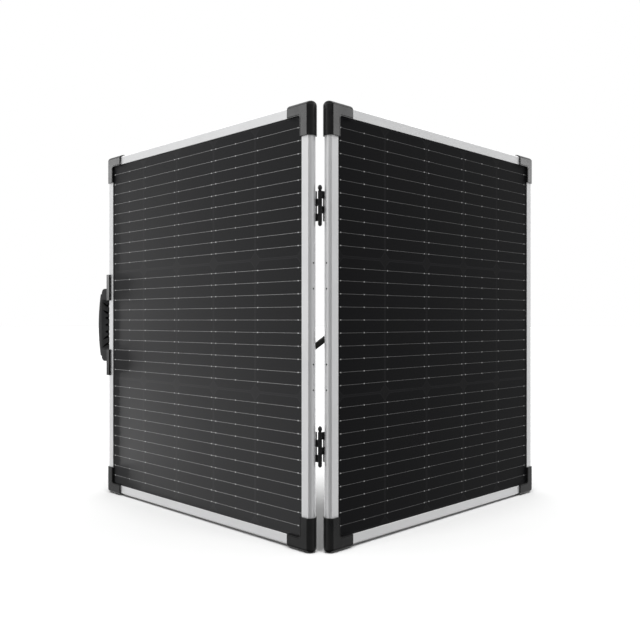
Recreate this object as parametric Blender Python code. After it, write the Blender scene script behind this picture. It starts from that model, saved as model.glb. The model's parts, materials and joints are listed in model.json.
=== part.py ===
"""Folding two-panel solar module for camping, standing half open like a book.

Each panel is built in its own axes: s runs from the fold axis out along the panel, n points out of the
cell side, z points up. The fold axis is s = 0, n = 0. Lengths are in millimetres until a mesh is written.
"""
import math

import bmesh
import bpy
from mathutils import Matrix, Vector

MM = 0.001
GAP = 0.3                   # clearance kept between touching pieces

# Half-cut M10 cells, ten wires each, give the glass its size
WIRE_PITCH = 17.2
ROW_PITCH = 9 * WIRE_PITCH + 1.684 * WIRE_PITCH
CELL_ROWS = 3
CELL_COLUMNS = 5
COLUMN_PITCH = 95.2
GLASS_WIDE = CELL_COLUMNS * COLUMN_PITCH + 0.7
GLASS_HIGH = CELL_ROWS * ROW_PITCH + 1.1

# Frame section: w runs inward from the outer crease, d runs forward from the frame's back
LIP = 12.5
DEPTH = 13.4
BULGE = 3.2
LIP_THICK = 1.2
POCKET_WALL = 5.0
SHELF = 7.3
TUBE_WALL = 1.2
FLANGE = 20.0
ARC_STEPS = 10

FRAME_WIDE = GLASS_WIDE + 2 * LIP
FRAME_HIGH = GLASS_HIGH + 2 * LIP
BACK = 2.5                  # frame's back in front of the fold plane
S_NEAR = BACK + BULGE       # crease beside the fold, so that flat panels have level bullnoses
S_FAR = S_NEAR + FRAME_WIDE

# Corner guards, with arm lengths measured from the frame's crease
GUARD_OUT = GAP + 1.5
GUARD_FRONT = GAP + 2.2
GUARD_BEHIND = GAP + 1.9
GUARD_ARM_S = 38.3
GUARD_ARM_Z = 40.4
GUARD_BACK_ARM = 18.0
GUARD_CORNER = 6.0
GUARD_FILLET = 4.0
GUARD_CHAMFER = 0.6
GUARD_STEPS = 5
Z_LOW = BULGE + GUARD_OUT   # bottom crease, with the guards standing on z = 0
Z_HIGH = Z_LOW + FRAME_HIGH
Z_MID = (Z_LOW + Z_HIGH) / 2

# Laminate stack, as depths from the frame's back
GLASS_DEPTHS = (9.2, 11.9)
CELL_DEPTHS = (8.4, 8.9)
BACKSHEET_DEPTHS = (7.6, 8.1)
LAMINATE_INSET = POCKET_WALL + 0.4

# Hinges
HINGE_OFFSET = 157.2
KNUCKLE = 9.8
KNUCKLES = 4
BARREL_R = 2.75
PIN_R = 1.5
LEAF_DEPTHS = (0.25, BACK - GAP)
LEAF_NOTCH = 5.3
LEAF_END = 25.0

# Carry handle on the left panel's outer stile
CAP_LONG = 45.0
CAP_OFFSET = 65.5
CAP_LIP = 5.0
CAP_PROUD = 3.3
CAP_OUT = 2.4
GRIP_HALF = 64.0
GRIP_SHELL = 55.0
GRIP_POST = 44.0
GRIP_END_OUT = 26.5
GRIP_SHELL_OUT = 30.3
GRIP_APEX = 37.5
GRIP_UNDER = 25.0
GRIP_FILLET = 4.0
GRIP_END_ROUND = 8.0
GRIP_DEPTHS = (-1.6, 14.0)

# Drilled holes in the inner stiles
HOLE_R = 1.3
HOLE_OFFSETS = (49.2, 82.6)

# Rear legs
LEG_INSET = 21.0            # from the stile's crease
LEG_WIDE = 10.0
LEG_HALF = 3.6
LEG_DEPTH = 3.65            # pivot's depth from the frame's back
LEG_PIVOT_Z = 222.0
LEG_END_Z = 47.0
FOOT_LONG = 20.0
BOLT_R = 1.6

# Junction boxes, glands and the lead between the panels
BOX_S = 150.0
BOX_Z = Z_MID - 21.2
BOX_WIDE = 110.0
BOX_HIGH = 60.0
BOX_WALL = 2.0
BOX_FLOOR = 1.4
BOX_BASE = (3.4, 9.8)
BOX_LID = (0.6, 3.1)
GLAND_OFFSET = 19.0
GLAND_LONG = 16.0
GLAND_R = 4.2
GLAND_N = 5.0
CABLE_R = 2.3
CABLE_STEP = 3.6


# ---------------------------------------------------------------- scene helpers

def clear_scene():
    for obj in list(bpy.data.objects):
        bpy.data.objects.remove(obj, do_unlink=True)


def material(name, colour, roughness, metallic=0.0):
    mat = bpy.data.materials.get(name) or bpy.data.materials.new(name)
    mat.use_nodes = True
    shader = mat.node_tree.nodes["Principled BSDF"]
    shader.inputs["Base Color"].default_value = (*colour, 1.0)
    shader.inputs["Roughness"].default_value = roughness
    shader.inputs["Metallic"].default_value = metallic
    mat.diffuse_color = (*colour, 1.0)
    return mat


def aluminium():
    return material("anodised_aluminium", (0.72, 0.72, 0.73), 0.34, 1.0)


def black_plastic():
    return material("black_plastic", (0.035, 0.035, 0.036), 0.5)


def black_steel():
    return material("black_steel", (0.02, 0.02, 0.021), 0.38, 0.3)


def steel():
    return material("stainless_steel", (0.62, 0.62, 0.61), 0.28, 1.0)


def rubber():
    return material("black_rubber", (0.02, 0.02, 0.02), 0.75)


def solar_glass():
    return material("solar_glass", (0.05, 0.05, 0.055), 0.12)


def solar_cells():
    return material("solar_cells", (0.012, 0.012, 0.014), 0.3)


def backsheet():
    return material("backsheet", (0.02, 0.02, 0.021), 0.55)


def axis_empty(name, parent, place, turn=0.0):
    empty = bpy.data.objects.new(name, None)
    bpy.context.collection.objects.link(empty)
    empty.parent = parent
    empty.location = Vector(place) * MM
    empty.rotation_euler = (0.0, 0.0, turn)
    return empty


class Panel:
    """One half of the module: its empty on the fold axis, and the way its own s runs in that empty."""

    def __init__(self, name, root, turn, side):
        self.name = name
        self.side = side
        self.empty = axis_empty(name + "_axis", root, (0, 0, 0), turn)

    def place(self, point):
        s, n, z = point
        return Vector((self.side * s, n, z))


def add_body(bm, name, mat, panel, parent=None, origin=(0, 0, 0), smooth=True):
    """Write a body given in (s, n, z) as an object, with its origin at the given point."""
    base = panel.place(origin)
    for vert in bm.verts:
        vert.co = (panel.place(vert.co) - base) * MM
    bmesh.ops.recalc_face_normals(bm, faces=bm.faces)
    if bm.calc_volume(signed=True) < 0:
        bmesh.ops.reverse_faces(bm, faces=bm.faces)
    mesh = bpy.data.meshes.new(name)
    bm.to_mesh(mesh)
    bm.free()
    if smooth:
        mesh.shade_smooth()
        mesh.set_sharp_from_angle(angle=math.radians(32))
    obj = bpy.data.objects.new(name, mesh)
    bpy.context.collection.objects.link(obj)
    obj.parent = parent or panel.empty
    obj.location = (0, 0, 0) if parent else base * MM
    mesh.materials.append(mat)
    return obj


def boolean(target, tool, operation):
    """Join or cut the target with a hidden helper body."""
    tool.hide_render = True
    tool.display_type = "WIRE"
    mod = target.modifiers.new(operation.lower() + "_" + tool.name, "BOOLEAN")
    mod.object = tool
    mod.operation = operation
    mod.solver = "EXACT"


# ---------------------------------------------------------------- shape helpers

def loft(rings):
    """Join closed rings of equally many points, and cap both ends."""
    bm = bmesh.new()
    loops = [[bm.verts.new(p) for p in ring] for ring in rings]
    for here, there in zip(loops, loops[1:]):
        for i in range(len(here)):
            j = (i + 1) % len(here)
            bm.faces.new((here[i], here[j], there[j], there[i]))
    bm.faces.new(loops[0])
    bm.faces.new(loops[-1])
    return bm


def loft_hollow(outers, inners):
    """A tube with an outer and an inner outline, open at both ends."""
    bm = bmesh.new()
    ends = []
    for rings in (outers, inners):
        loops = [[bm.verts.new(p) for p in ring] for ring in rings]
        count = len(loops[0])
        for i in range(count):
            j = (i + 1) % count
            bm.faces.new((loops[0][i], loops[0][j], loops[1][j], loops[1][i]))
        ends.append(loops)
    for end in (0, 1):
        rim = []
        for loops in ends:
            ring = loops[end]
            rim += [bm.edges.get((ring[i], ring[i - 1])) for i in range(len(ring))]
        bmesh.ops.triangle_fill(bm, edges=rim, use_beauty=True)
    return bm


def prism(outline, low, high, put):
    """Extrude a flat outline of (a, b) points from low to high; put(a, b, c) gives each corner."""
    return loft([[put(a, b, c) for a, b in outline] for c in (low, high)])


def box(low, high):
    (s0, n0, z0), (s1, n1, z1) = low, high
    outline = [(s0, z0), (s1, z0), (s1, z1), (s0, z1)]
    return prism(outline, n0, n1, lambda s, z, n: (s, n, z))


def arc(centre, radius, start, end, steps):
    """Points on an arc, angles in radians, both ends included."""
    cx, cy = centre
    angles = [start + (end - start) * i / steps for i in range(steps + 1)]
    return [(cx + radius * math.cos(a), cy + radius * math.sin(a)) for a in angles]


def round_box_outline(wide, high, radius, steps=3):
    """A rounded rectangle about the origin."""
    outline = []
    for k, (sx, sy) in enumerate(((1, 1), (-1, 1), (-1, -1), (1, -1))):
        centre = (sx * (wide / 2 - radius), sy * (high / 2 - radius))
        outline += arc(centre, radius, k * math.pi / 2, (k + 1) * math.pi / 2, steps)
    return outline


def lathe(profile, place, sides=16):
    """Turn (radius, along) points about an axis; place(x, y, along) gives each corner."""
    bm = bmesh.new()
    rings = []
    for radius, along in profile:
        if radius == 0:
            rings.append([bm.verts.new(place(0, 0, along))])
            continue
        ring = []
        for i in range(sides):
            turn = 2 * math.pi * i / sides
            ring.append(bm.verts.new(place(radius * math.cos(turn), radius * math.sin(turn), along)))
        rings.append(ring)
    for here, there in zip(rings, rings[1:]):
        for i in range(sides):
            j = (i + 1) % sides
            corners = [here[i % len(here)], here[j % len(here)]]
            corners += [there[j % len(there)], there[i % len(there)]]
            bm.faces.new(list(dict.fromkeys(corners)))
    for ring in (rings[0], rings[-1]):
        if len(ring) > 1:
            bm.faces.new(ring)
    return bm


def along_s(n, z):
    return lambda x, y, s: (s, n + x, z + y)


def along_z(s, n):
    return lambda x, y, z: (s + x, n + y, z)


# ---------------------------------------------------------------- frame

def bullnose(offset, depth_low, depth_high, steps):
    """The frame's rounded outer side, moved out by offset, between two depths, front to back."""
    middle = DEPTH / 2
    radius = (middle ** 2 + BULGE ** 2) / (2 * BULGE)
    centre = radius - BULGE
    reach = radius + offset
    start = math.pi - math.asin((depth_high - middle) / reach)
    end = math.pi + math.asin((middle - depth_low) / reach)
    return arc((centre, middle), reach, start, end, steps)


def frame_section():
    outer = bullnose(0, 0, DEPTH, ARC_STEPS)
    outer += [(FLANGE, 0), (FLANGE, TUBE_WALL), (LIP, TUBE_WALL), (LIP, SHELF)]
    outer += [(POCKET_WALL, SHELF), (POCKET_WALL, DEPTH - LIP_THICK)]
    outer += [(LIP, DEPTH - LIP_THICK), (LIP, DEPTH)]
    hollow = bullnose(-TUBE_WALL, TUBE_WALL, DEPTH - LIP_THICK, ARC_STEPS)
    hollow += [(LIP - TUBE_WALL, TUBE_WALL), (LIP - TUBE_WALL, SHELF - TUBE_WALL)]
    hollow += [(POCKET_WALL - TUBE_WALL, SHELF - TUBE_WALL)]
    hollow += [(POCKET_WALL - TUBE_WALL, DEPTH - LIP_THICK)]
    return outer, hollow


def mitre_cut(w):
    """How far in from the crease corner a member ends: a mitre, cut back under the guard's round corner."""
    return GAP * 0.7 + (w if w >= 0 else -1.2 * w)


def frame_member(start, end, put):
    """A length of the frame's section with mitred ends; put(w, d, along) gives each corner."""
    loops = []
    for outline in frame_section():
        first = [put(w, d, start + mitre_cut(w)) for w, d in outline]
        last = [put(w, d, end - mitre_cut(w)) for w, d in outline]
        loops.append((first, last))
    return loft_hollow(*loops)


def make_frame(panel):
    def stile_near(w, d, along):
        return (S_NEAR + w, BACK + d, along)

    def stile_far(w, d, along):
        return (S_FAR - w, BACK + d, along)

    def rail_top(w, d, along):
        return (along, BACK + d, Z_HIGH - w)

    def rail_bottom(w, d, along):
        return (along, BACK + d, Z_LOW + w)

    stiles = []
    for label, put in (("inner_stile", stile_near), ("outer_stile", stile_far)):
        bm = frame_member(Z_LOW, Z_HIGH, put)
        stiles.append(add_body(bm, panel.name + "_" + label, aluminium(), panel))
    for label, put in (("top_rail", rail_top), ("bottom_rail", rail_bottom)):
        bm = frame_member(S_NEAR, S_FAR, put)
        add_body(bm, panel.name + "_" + label, aluminium(), panel)
    drill_inner_stile(panel, stiles[0])
    for stile, wall in zip(stiles, (S_NEAR + LIP, S_FAR - LIP)):
        drill_leg_hole(panel, stile, wall)


def drill_inner_stile(panel, stile):
    middle = BACK + DEPTH / 2
    heights = [Z_MID + sign * step for step in HOLE_OFFSETS for sign in (-1, 1)]
    for k, z in enumerate(heights):
        profile = [(HOLE_R, S_NEAR - BULGE - 2), (HOLE_R, S_NEAR)]
        bm = lathe(profile, along_s(middle, z), 12)
        tool = add_body(bm, panel.name + "_drill_%d" % k, black_steel(), panel)
        boolean(stile, tool, "DIFFERENCE")


def drill_leg_hole(panel, stile, wall):
    profile = [(BOLT_R + GAP, wall - 2.5), (BOLT_R + GAP, wall + 2.5)]
    bm = lathe(profile, along_s(BACK + LEG_DEPTH, LEG_PIVOT_Z), 12)
    tool = add_body(bm, stile.name + "_leg_drill", black_steel(), panel)
    boolean(stile, tool, "DIFFERENCE")


# ---------------------------------------------------------------- glass, cells, backsheet

def make_laminate(panel):
    layers = (
        ("glass", GLASS_DEPTHS, solar_glass()),
        ("cell_layer", CELL_DEPTHS, solar_cells()),
        ("backsheet", BACKSHEET_DEPTHS, backsheet()),
    )
    for label, (low, high), mat in layers:
        corner = (S_NEAR + LAMINATE_INSET, BACK + low, Z_LOW + LAMINATE_INSET)
        other = (S_FAR - LAMINATE_INSET, BACK + high, Z_HIGH - LAMINATE_INSET)
        add_body(box(corner, other), panel.name + "_" + label, mat, panel, smooth=False)


# ---------------------------------------------------------------- corner guards

def corner_radius(w, edge, tip, at_edge, at_tip):
    """A guard's corner is tight at its creases and rounder towards the tip of its bullnose."""
    share = min(max((edge - w) / (edge - tip), 0), 1)
    return at_edge + (at_tip - at_edge) * share


def guard_section():
    """C-shaped wall round the frame's lip, bullnose and back, as (w, d, corner radius)."""
    front = DEPTH + GUARD_FRONT
    back = -GUARD_BEHIND
    nose = bullnose(GUARD_OUT, back, DEPTH - back, 9)
    nose.insert(0, (nose[0][0] + 0.5, front))
    lip_edge = [(LIP, DEPTH + GAP), (LIP, front - GUARD_CHAMFER), (LIP - GUARD_CHAMFER, front)]
    section = [(w, d, GUARD_FILLET) for w, d in lip_edge]
    for w, d in nose:
        section.append((w, d, corner_radius(w, nose[1][0], -BULGE - GUARD_OUT, 1.5, GUARD_CORNER)))
    section += [(GUARD_BACK_ARM, back, GUARD_FILLET), (GUARD_BACK_ARM, -GAP, GUARD_FILLET)]
    for w, d in reversed(bullnose(GAP, -GAP, DEPTH + GAP, 9)):
        section.append((w, d, corner_radius(w, 0, -BULGE - GAP, 0.5, GUARD_FILLET)))
    return section


def make_guard(panel, label, s_corner, s_way, z_corner, z_way):
    outline = guard_section()

    def put(w, d, a, b):
        return (s_corner + s_way * a, BACK + d, z_corner + z_way * b)

    rings = [[put(w, d, GUARD_ARM_S, w) for w, d, radius in outline]]
    for k in range(GUARD_STEPS + 1):
        turn = math.pi / 2 * (1 - k / GUARD_STEPS)
        cos, sin = math.cos(turn), math.sin(turn)
        rings.append([put(w, d, w + r - r * cos, w + r - r * sin) for w, d, r in outline])
    rings.append([put(w, d, w, GUARD_ARM_Z) for w, d, radius in outline])
    add_body(loft(rings), panel.name + "_" + label, black_plastic(), panel)


def make_guards(panel):
    for top in (True, False):
        z_corner, z_way = (Z_HIGH, -1) if top else (Z_LOW, 1)
        height = "top" if top else "bottom"
        make_guard(panel, height + "_inner_guard", S_NEAR, 1, z_corner, z_way)
        make_guard(panel, height + "_outer_guard", S_FAR, -1, z_corner, z_way)


# ---------------------------------------------------------------- hinges

def leaf_outline(bottom, fingers):
    """Comb outline in (s, z): full plate with fingers that reach the barrel."""
    slack = GAP / 2
    outline = [(LEAF_END, bottom), (LEAF_END, bottom + KNUCKLE * KNUCKLES)]
    edge = []
    for k in reversed(range(KNUCKLES)):
        low, high = bottom + k * KNUCKLE, bottom + (k + 1) * KNUCKLE
        if k in fingers:
            high -= slack if k < KNUCKLES - 1 else 0
            low += slack if k > 0 else 0
            edge += [(LEAF_NOTCH, high), (0.0, high), (0.0, low), (LEAF_NOTCH, low)]
    outline += [(LEAF_NOTCH, bottom + KNUCKLE * KNUCKLES)] + edge + [(LEAF_NOTCH, bottom)]
    tidy = []
    for point in outline:
        if not tidy or point != tidy[-1]:
            tidy.append(point)
    return tidy


def make_leaf(panel, name, bottom, fingers):
    outline = leaf_outline(bottom, fingers)
    bm = prism(outline, *LEAF_DEPTHS, lambda s, z, n: (s, n, z))
    leaf = add_body(bm, name, black_steel(), panel)
    slack = GAP / 2
    for k in fingers:
        low = bottom + k * KNUCKLE + (slack if k > 0 else 0)
        high = bottom + (k + 1) * KNUCKLE - (slack if k < KNUCKLES - 1 else 0)
        knuckle = lathe([(BARREL_R, low), (BARREL_R, high)], along_z(0, 0), 20)
        tool = add_body(knuckle, name + "_knuckle_%d" % k, black_steel(), panel)
        boolean(leaf, tool, "UNION")
    bore_r = PIN_R + GAP
    bore = lathe([(bore_r, bottom - 2), (bore_r, bottom + KNUCKLE * KNUCKLES + 2)], along_z(0, 0), 20)
    tool = add_body(bore, name + "_bore", black_steel(), panel)
    boolean(leaf, tool, "DIFFERENCE")


def make_pin(panel, name, bottom):
    """Loose pin: a round head on a short neck above, a domed end below."""
    top = bottom + KNUCKLE * KNUCKLES
    head = BARREL_R
    profile = [(0, bottom - 7.0)]
    profile += [(head * 0.62, bottom - 6.3), (head * 0.95, bottom - 4.6), (head * 0.95, bottom - GAP)]
    profile += [(PIN_R, bottom - GAP), (PIN_R, top + GAP)]
    profile += [(head * 0.72, top + GAP), (head * 0.72, top + 1.6)]
    profile += [(head, top + 2.6), (head * 1.04, top + 4.4), (head * 0.8, top + 6.6)]
    profile += [(head * 0.4, top + 7.7), (0, top + 8.0)]
    add_body(lathe(profile, along_z(0, 0), 16), name, black_steel(), panel)


def make_hinges(left, right):
    for label, centre in (("upper", Z_MID + HINGE_OFFSET), ("lower", Z_MID - HINGE_OFFSET)):
        bottom = centre - KNUCKLES * KNUCKLE / 2
        make_leaf(left, label + "_hinge_left_leaf", bottom, (0, 2))
        make_leaf(right, label + "_hinge_right_leaf", bottom, (1, 3))
        make_pin(left, label + "_hinge_pin", bottom)


# ---------------------------------------------------------------- handle

def make_handle_cap(panel, name, centre):
    front = DEPTH + CAP_PROUD
    outside = -BULGE - CAP_OUT
    outline = [(CAP_LIP, DEPTH + GAP), (CAP_LIP, front), (outside + 1.5, front), (outside, front - 1.5)]
    outline += [(outside, -1.0), (0.5, -1.0), (0.5, -GAP)]
    outline += reversed(bullnose(GAP, -GAP, DEPTH + GAP, 8))

    def put(w, d, z):
        return (S_FAR - w, BACK + d, z)

    bm = prism(outline, centre - CAP_LONG / 2, centre + CAP_LONG / 2, put)
    add_body(bm, name, black_plastic(), panel)


def grip_outline():
    """The grip's side view: (out, z) with out measured from the stile's crease."""
    foot = BULGE + CAP_OUT + GAP
    arch = []
    steps = 14
    for i in range(steps + 1):
        z = GRIP_SHELL * (2 * i / steps - 1)
        rise = 1 - (z / GRIP_SHELL) ** 2
        arch.append((GRIP_SHELL_OUT + (GRIP_APEX - GRIP_SHELL_OUT) * rise, z))
    end = [(GRIP_END_OUT, GRIP_SHELL)]
    round_at = (GRIP_END_OUT - GRIP_END_ROUND, GRIP_HALF - GRIP_END_ROUND)
    end += arc(round_at, GRIP_END_ROUND, 0.25, math.pi / 2, 4)
    end += [(foot, GRIP_HALF), (foot, GRIP_POST)]
    fillet_at = (GRIP_UNDER - GRIP_FILLET, GRIP_POST - GRIP_FILLET)
    end += arc(fillet_at, GRIP_FILLET, math.pi / 2, 0, 4)
    return arch + end + [(out, -z) for out, z in reversed(end)]


def make_handle(panel):
    for label, sign in (("upper", 1), ("lower", -1)):
        make_handle_cap(panel, "handle_%s_cap" % label, Z_MID + sign * CAP_OFFSET)
    low, high = GRIP_DEPTHS

    def put(out, z, d):
        return (S_FAR + out, BACK + d, Z_MID + z)

    add_body(prism(grip_outline(), low, high, put), "handle_grip", black_plastic(), panel)


# ---------------------------------------------------------------- legs

def make_leg(panel, label, s_low, wall, way):
    """A bar that swings out behind the panel on a shoulder bolt through the stile's wall."""
    n_pivot = BACK + LEG_DEPTH
    pivot = (s_low + LEG_WIDE / 2, n_pivot, LEG_PIVOT_Z)
    empty = axis_empty(panel.name + "_" + label + "_leg_axis", panel.empty, panel.place(pivot))
    head = arc((n_pivot, LEG_PIVOT_Z), LEG_HALF, 0, math.pi, 10)
    outline = head + [(n_pivot - LEG_HALF, LEG_END_Z), (n_pivot + LEG_HALF, LEG_END_Z)]

    def put(n, z, s):
        return (s, n, z)

    bm = prism(outline, s_low, s_low + LEG_WIDE, put)
    name = panel.name + "_" + label + "_leg"
    leg = add_body(bm, name, aluminium(), panel, empty, pivot)
    bore = [(BOLT_R + GAP, s_low - 2), (BOLT_R + GAP, s_low + LEG_WIDE + 2)]
    bm = lathe(bore, along_s(n_pivot, LEG_PIVOT_Z), 12)
    tool = add_body(bm, name + "_bore", black_steel(), panel, empty, pivot)
    boolean(leg, tool, "DIFFERENCE")

    top = LEG_END_Z - GAP
    toe = arc((n_pivot, top - FOOT_LONG + LEG_HALF), LEG_HALF, math.pi, 2 * math.pi, 8)
    outline = toe + [(n_pivot + LEG_HALF, top), (n_pivot - LEG_HALF, top)]
    bm = prism(outline, s_low - 0.5, s_low + LEG_WIDE + 0.5, put)
    add_body(bm, name + "_foot", rubber(), panel, empty, pivot)

    inside = wall - way * (TUBE_WALL + GAP)
    far = s_low + LEG_WIDE if way > 0 else s_low
    head = far + way * (0.5 + GAP)
    stations = [
        (2.1, wall - way * 4.2), (2.1, inside), (BOLT_R, inside), (BOLT_R, head),
        (3.1, head), (3.1, far + way * 2.4), (2.2, far + way * 2.9),
    ]
    bm = lathe(stations, along_s(n_pivot, LEG_PIVOT_Z), 14)
    add_body(bm, name + "_bolt", steel(), panel)


def make_legs(panel):
    make_leg(panel, "inner", S_NEAR + LEG_INSET, S_NEAR + LIP, 1)
    make_leg(panel, "outer", S_FAR - LEG_INSET - LEG_WIDE, S_FAR - LIP, -1)


# ---------------------------------------------------------------- junction boxes and lead

def tray(outline, inner, floor, depths, put):
    """A tray with rounded corners, open towards the lid."""
    low, high = depths
    bm = bmesh.new()
    rings = []
    for shape, level in ((outline, high), (outline, low), (inner, low), (inner, floor)):
        rings.append([bm.verts.new(put(a, b, level)) for a, b in shape])
    for here, there in zip(rings, rings[1:]):
        for i in range(len(here)):
            j = (i + 1) % len(here)
            bm.faces.new((here[i], here[j], there[j], there[i]))
    bm.faces.new(rings[0])
    bm.faces.new(rings[-1])
    return bm


def make_junction_box(panel):
    def put(a, b, n):
        return (BOX_S + a, n, BOX_Z + b)

    outline = round_box_outline(BOX_WIDE, BOX_HIGH, 5.0)
    inner = round_box_outline(BOX_WIDE - 2 * BOX_WALL, BOX_HIGH - 2 * BOX_WALL, 3.0)
    bm = tray(outline, inner, BOX_BASE[1] - BOX_FLOOR, BOX_BASE, put)
    add_body(bm, panel.name + "_junction_box", black_plastic(), panel)
    rim = round_box_outline(BOX_WIDE - 2.0, BOX_HIGH - 2.0, 4.0)
    levels = ((outline, BOX_LID[1]), (outline, BOX_LID[0] + 0.9), (rim, BOX_LID[0]))
    lid = loft([[put(a, b, n) for a, b in shape] for shape, n in levels])
    add_body(lid, panel.name + "_junction_box_lid", black_plastic(), panel)
    low, high = BOX_BASE[0] + 0.6, BOX_BASE[1] - BOX_FLOOR - GAP
    block = box((BOX_S - 30, low, BOX_Z - 7), (BOX_S + 30, high, BOX_Z + 7))
    add_body(block, panel.name + "_bypass_diode_block", black_plastic(), panel, smooth=False)


def gland_profile(start, way):
    """Collar, nut and tapered nose, from the box wall outwards."""
    steps = ((GLAND_R, 0), (GLAND_R, 2.2), (3.7, 2.7), (3.7, 5.0))
    steps += ((3.9, 5.4), (3.4, 11.0), (2.8, GLAND_LONG))
    return [(radius, start + way * step) for radius, step in steps]


def make_glands(left, right):
    wall = BOX_S - BOX_WIDE / 2 - GAP
    for panel, sign in ((left, -1), (right, 1)):
        bm = lathe(gland_profile(wall, -1), along_s(GLAND_N, BOX_Z + sign * GLAND_OFFSET), 14)
        add_body(bm, panel.name + "_link_gland", black_plastic(), panel)
    bottom = BOX_Z - BOX_HIGH / 2 - GAP
    bm = lathe(gland_profile(bottom, -1), along_z(BOX_S, GLAND_N), 14)
    add_body(bm, "right_output_gland", black_plastic(), right)


def cable_route(left, right):
    """The lead's path in the root's axes, gland to gland, over both stiles and behind the fold axis."""
    tip = BOX_S - BOX_WIDE / 2 - GLAND_LONG - 2 * GAP
    half = [
        (tip, GLAND_N, GLAND_OFFSET), (tip - 8, GLAND_N, GLAND_OFFSET), (58, 4.6, 18.6), (46, 3.0, 17.6),
        (36, 0.6, 16.0), (28, -0.35, 13.8), (19, -0.35, 10.6), (11, -1.4, 5.4), (5.2, -4.0, 0.7),
    ]
    points = []
    for s, n, drop in half:
        points.append(left.empty.matrix_basis @ (left.place((s, n, BOX_Z - drop)) * MM))
    for s, n, drop in reversed(half):
        points.append(right.empty.matrix_basis @ (right.place((s, n, BOX_Z + drop)) * MM))
    return points


def smooth_path(points, step):
    """Points about a step apart on a curve through the given points."""
    path = []
    count = len(points)
    for i in range(count - 1):
        before = points[max(i - 1, 0)]
        here, there = points[i], points[i + 1]
        after = points[min(i + 2, count - 1)]
        pieces = max(1, round((there - here).length / step))
        for k in range(pieces):
            t = k / pieces
            path.append(0.5 * (
                2 * here + (there - before) * t
                + (2 * before - 5 * here + 4 * there - after) * t * t
                + (3 * here - before - 3 * there + after) * t ** 3
            ))
    path.append(points[-1])
    return path


def make_cable(root, left, right):
    path = smooth_path(cable_route(left, right), CABLE_STEP * MM)
    curve = bpy.data.curves.new("link_cable", "CURVE")
    curve.dimensions = "3D"
    curve.bevel_depth = CABLE_R * MM
    curve.bevel_resolution = 2
    curve.use_fill_caps = True
    spline = curve.splines.new("POLY")
    spline.points.add(len(path) - 1)
    for point, place in zip(spline.points, path):
        point.co = (*place, 1.0)
    curve.materials.append(rubber())
    obj = bpy.data.objects.new("link_cable", curve)
    bpy.context.collection.objects.link(obj)
    obj.parent = root


# ---------------------------------------------------------------- whole module

def centre_on_origin(root):
    """Put the middle of the footprint on the origin, with the guards standing on z = 0."""
    bpy.context.view_layer.update()
    graph = bpy.context.evaluated_depsgraph_get()
    low, high = Vector((1e9,) * 3), Vector((-1e9,) * 3)
    for obj in bpy.data.objects:
        if obj.type == "EMPTY" or obj.hide_render:
            continue
        body = obj.evaluated_get(graph)
        mesh = body.to_mesh()
        for vert in mesh.vertices:
            place = body.matrix_world @ vert.co
            low = Vector(map(min, low, place))
            high = Vector(map(max, high, place))
        body.to_mesh_clear()
    root.location = (-(low.x + high.x) / 2, -(low.y + high.y) / 2, -low.z)
    bpy.context.view_layer.update()


def build():
    clear_scene()
    root = axis_empty("module", None, (0, 0, 0))
    left = Panel("left", root, math.radians(135), 1)
    right = Panel("right", root, math.radians(225), -1)
    for panel in (left, right):
        make_frame(panel)
        make_laminate(panel)
        make_guards(panel)
        make_legs(panel)
        make_junction_box(panel)
    make_hinges(left, right)
    make_handle(left)
    make_glands(left, right)
    make_cable(root, left, right)
    centre_on_origin(root)


build()
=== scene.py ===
"""Looks of a folding two-panel solar module that stands half open, its cells on the outside of the fold.

Each panel has its own axes, in millimetres: s runs from the fold axis out along the panel, n points out of
the cell side, and z is the height above the ground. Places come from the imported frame.
"""

import json
import math

import bmesh
import bpy
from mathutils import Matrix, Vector

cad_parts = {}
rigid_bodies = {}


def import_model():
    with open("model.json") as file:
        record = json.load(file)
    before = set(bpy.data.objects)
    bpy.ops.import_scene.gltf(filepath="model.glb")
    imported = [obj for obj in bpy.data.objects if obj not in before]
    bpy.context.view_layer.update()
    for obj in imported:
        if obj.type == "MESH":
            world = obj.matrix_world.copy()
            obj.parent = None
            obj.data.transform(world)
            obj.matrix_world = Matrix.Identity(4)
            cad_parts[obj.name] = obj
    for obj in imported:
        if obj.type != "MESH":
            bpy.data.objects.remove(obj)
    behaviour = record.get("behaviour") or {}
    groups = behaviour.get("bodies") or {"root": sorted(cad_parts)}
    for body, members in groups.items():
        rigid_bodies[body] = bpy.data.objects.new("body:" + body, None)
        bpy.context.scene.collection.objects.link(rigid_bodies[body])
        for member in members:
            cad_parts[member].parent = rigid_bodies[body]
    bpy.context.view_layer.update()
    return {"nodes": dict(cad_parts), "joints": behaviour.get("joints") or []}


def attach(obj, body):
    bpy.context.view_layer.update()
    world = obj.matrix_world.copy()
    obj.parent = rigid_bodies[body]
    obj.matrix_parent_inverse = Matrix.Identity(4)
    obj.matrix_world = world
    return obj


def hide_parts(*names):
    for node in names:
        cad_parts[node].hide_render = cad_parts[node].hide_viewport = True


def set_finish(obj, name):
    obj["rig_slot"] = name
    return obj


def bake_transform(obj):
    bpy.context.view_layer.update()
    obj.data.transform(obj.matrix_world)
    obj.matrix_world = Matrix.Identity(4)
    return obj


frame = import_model()

MM = 0.001

# Camera, level and square to the fold, with the object's middle a little below its axis
CAMERA_BACK = 0.9963
CAMERA_RISE = 0.0086
CAMERA_LENS = 43.03

# Sections repeated from the CAD
DEPTH = 13.4                # of the frame, from its back to its lip
BULGE = 3.2                 # of the frame's rounded side
LIP_THICK = 1.2
GLASS_FRONT = 11.9          # depth of the glass's outer face
GLASS_UNDER_LIP = 7.1       # width of glass that the lip hides
LEAF_BACK = 0.25            # n of a hinge leaf's back
GRIP_UNDER = 25.0           # from the stile's crease to the grip's underside

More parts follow.
